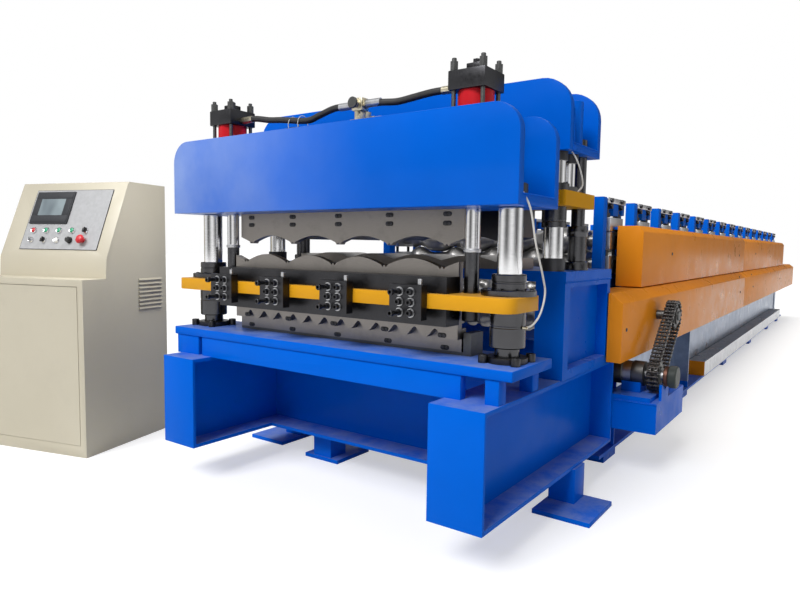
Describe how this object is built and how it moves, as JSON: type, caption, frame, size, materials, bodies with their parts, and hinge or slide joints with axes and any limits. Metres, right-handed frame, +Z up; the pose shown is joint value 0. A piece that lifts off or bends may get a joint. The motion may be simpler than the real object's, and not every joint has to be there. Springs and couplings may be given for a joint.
{
  "type": "roll forming machine",
  "caption": "Double deck roll forming line for roof sheet with step press, hydraulic shear, chain drive, orange side guards and a separate desk control cabinet.",
  "frame": {"origin": "on the floor under the middle of the whole object's box", "axes": "+Z up, +Y back along the feed line from the shear, +X towards the drive side"},
  "size_m": [2.7386, 8.7632, 1.44],
  "materials": {
    "blue_paint": "gloss",
    "yellow_paint": "gloss",
    "orange_paint": "gloss",
    "chrome_steel": "polished",
    "blackened_steel": "satin",
    "tool_steel": "ground",
    "red_paint": "gloss",
    "hose_rubber": "satin",
    "beige_paint": "satin",
    "panel_grey": "satin",
    "red_plastic": "gloss",
    "green_plastic": "gloss",
    "white_plastic": "gloss",
    "black_plastic": "gloss"
  },
  "bodies": {
    "frame": {"shear_base": "blue_paint", "shear_bed_plate": "blue_paint", "shear_crosshead": "blue_paint", "shear_column_left": "chrome_steel", "shear_column_right": "chrome_steel", "upper_fixed_blade": "tool_steel", "lower_fixed_blade": "tool_steel", "upper_blade_holder": "blackened_steel", "lower_blade_holder": "blue_paint", "shear_cylinder_left": "red_paint", "shear_cylinder_right": "red_paint", "hydraulic_tee": "tool_steel", "hydraulic_hose_left": "hose_rubber", "hydraulic_hose_right": "hose_rubber", "press_bed": "blue_paint", "press_crosshead": "blue_paint", "press_column_left": "chrome_steel", "press_column_right": "chrome_steel", "press_lower_die": "tool_steel", "line_base": "blue_paint", "roll_stands": "blue_paint", "upper_guard_front": "orange_paint", "upper_guard_rear": "orange_paint", "lower_guard_front": "orange_paint", "lower_guard_rear": "orange_paint", "drive_reducer": "blackened_steel", "upper_sprocket": "blackened_steel", "drive_chain": "blackened_steel", "side_trough": "orange_paint", "cabinet_body": "beige_paint", "operator_panel": "panel_grey"},
    "shear_ram": {"shear_moving_plate": "yellow_paint", "shear_sleeve_left": "blackened_steel", "shear_sleeve_right": "blackened_steel", "moving_die_holder": "blackened_steel", "blade_clamp_1": "blackened_steel", "blade_clamp_2": "blackened_steel", "blade_clamp_3": "blackened_steel", "blade_clamp_4": "blackened_steel", "upper_moving_blade": "tool_steel", "lower_moving_blade": "tool_steel", "shear_rod_left": "chrome_steel", "shear_rod_right": "chrome_steel"},
    "press_ram": {"press_moving_plate": "yellow_paint", "press_post_left": "chrome_steel", "press_post_right": "chrome_steel", "press_upper_die": "blackened_steel"},
    "door": {"cabinet_door": "beige_paint"},
    "red_button": {"red_button": "red_plastic"},
    "green_button_1": {"green_button_1": "green_plastic"},
    "green_button_2": {"green_button_2": "green_plastic"},
    "green_button_3": {"green_button_3": "green_plastic"},
    "upper_selector": {"upper_selector": "black_plastic"},
    "key_switch": {"key_switch": "black_plastic"},
    "lower_selector": {"lower_selector": "black_plastic"},
    "white_button": {"white_button": "white_plastic"},
    "speed_knob": {"speed_knob": "black_plastic"},
    "emergency_stop": {"emergency_stop": "red_plastic"}
  },
  "joints": [
    {"name": "shear_slide", "type": "slide", "parent": "frame", "child": "shear_ram", "axis": [0, 0, 1], "range_m": [-0.018, 0.075]},
    {"name": "press_slide", "type": "slide", "parent": "frame", "child": "press_ram", "axis": [0, 0, 1], "range_m": [-0.04, 0]},
    {"name": "door_hinge", "type": "hinge", "parent": "frame", "child": "door", "pos_m": [-0.67092, -4.2217, 0.38], "axis": [0, 0, 1], "range_deg": [0, 110]},
    {"name": "red_button_joint", "type": "slide", "parent": "frame", "child": "red_button", "axis": [0.2578, -0.8875, 0.3819], "range_m": [-0.004, 0], "stiffness_N_per_m": 400, "springref_m": 0.003},
    {"name": "green_button_1_joint", "type": "slide", "parent": "frame", "child": "green_button_1", "axis": [0.2578, -0.8875, 0.3819], "range_m": [-0.004, 0], "stiffness_N_per_m": 400, "springref_m": 0.003},
    {"name": "green_button_2_joint", "type": "slide", "parent": "frame", "child": "green_button_2", "axis": [0.2578, -0.8875, 0.3819], "range_m": [-0.004, 0], "stiffness_N_per_m": 400, "springref_m": 0.003},
    {"name": "green_button_3_joint", "type": "slide", "parent": "frame", "child": "green_button_3", "axis": [0.2578, -0.8875, 0.3819], "range_m": [-0.004, 0], "stiffness_N_per_m": 400, "springref_m": 0.003},
    {"name": "upper_selector_joint", "type": "hinge", "parent": "frame", "child": "upper_selector", "pos_m": [-0.83925, -4.08317, 0.94616], "axis": [0.2578, -0.8875, 0.3819], "range_deg": [-45, 45]},
    {"name": "key_switch_joint", "type": "hinge", "parent": "frame", "child": "key_switch", "pos_m": [-1.12041, -4.18355, 0.90272], "axis": [0.2578, -0.8875, 0.3819], "range_deg": [0, 90]},
    {"name": "lower_selector_joint", "type": "hinge", "parent": "frame", "child": "lower_selector", "pos_m": [-1.04887, -4.16276, 0.90272], "axis": [0.2578, -0.8875, 0.3819], "range_deg": [-45, 45]},
    {"name": "white_button_joint", "type": "slide", "parent": "frame", "child": "white_button", "axis": [0.2578, -0.8875, 0.3819], "range_m": [-0.004, 0], "stiffness_N_per_m": 400, "springref_m": 0.003},
    {"name": "speed_knob_joint", "type": "hinge", "parent": "frame", "child": "speed_knob", "pos_m": [-0.90578, -4.12119, 0.90272], "axis": [0.2578, -0.8875, 0.3819], "range_deg": [-135, 135]},
    {"name": "emergency_stop_joint", "type": "slide", "parent": "frame", "child": "emergency_stop", "axis": [0.2578, -0.8875, 0.3819], "range_m": [-0.006, 0]}
  ]
}
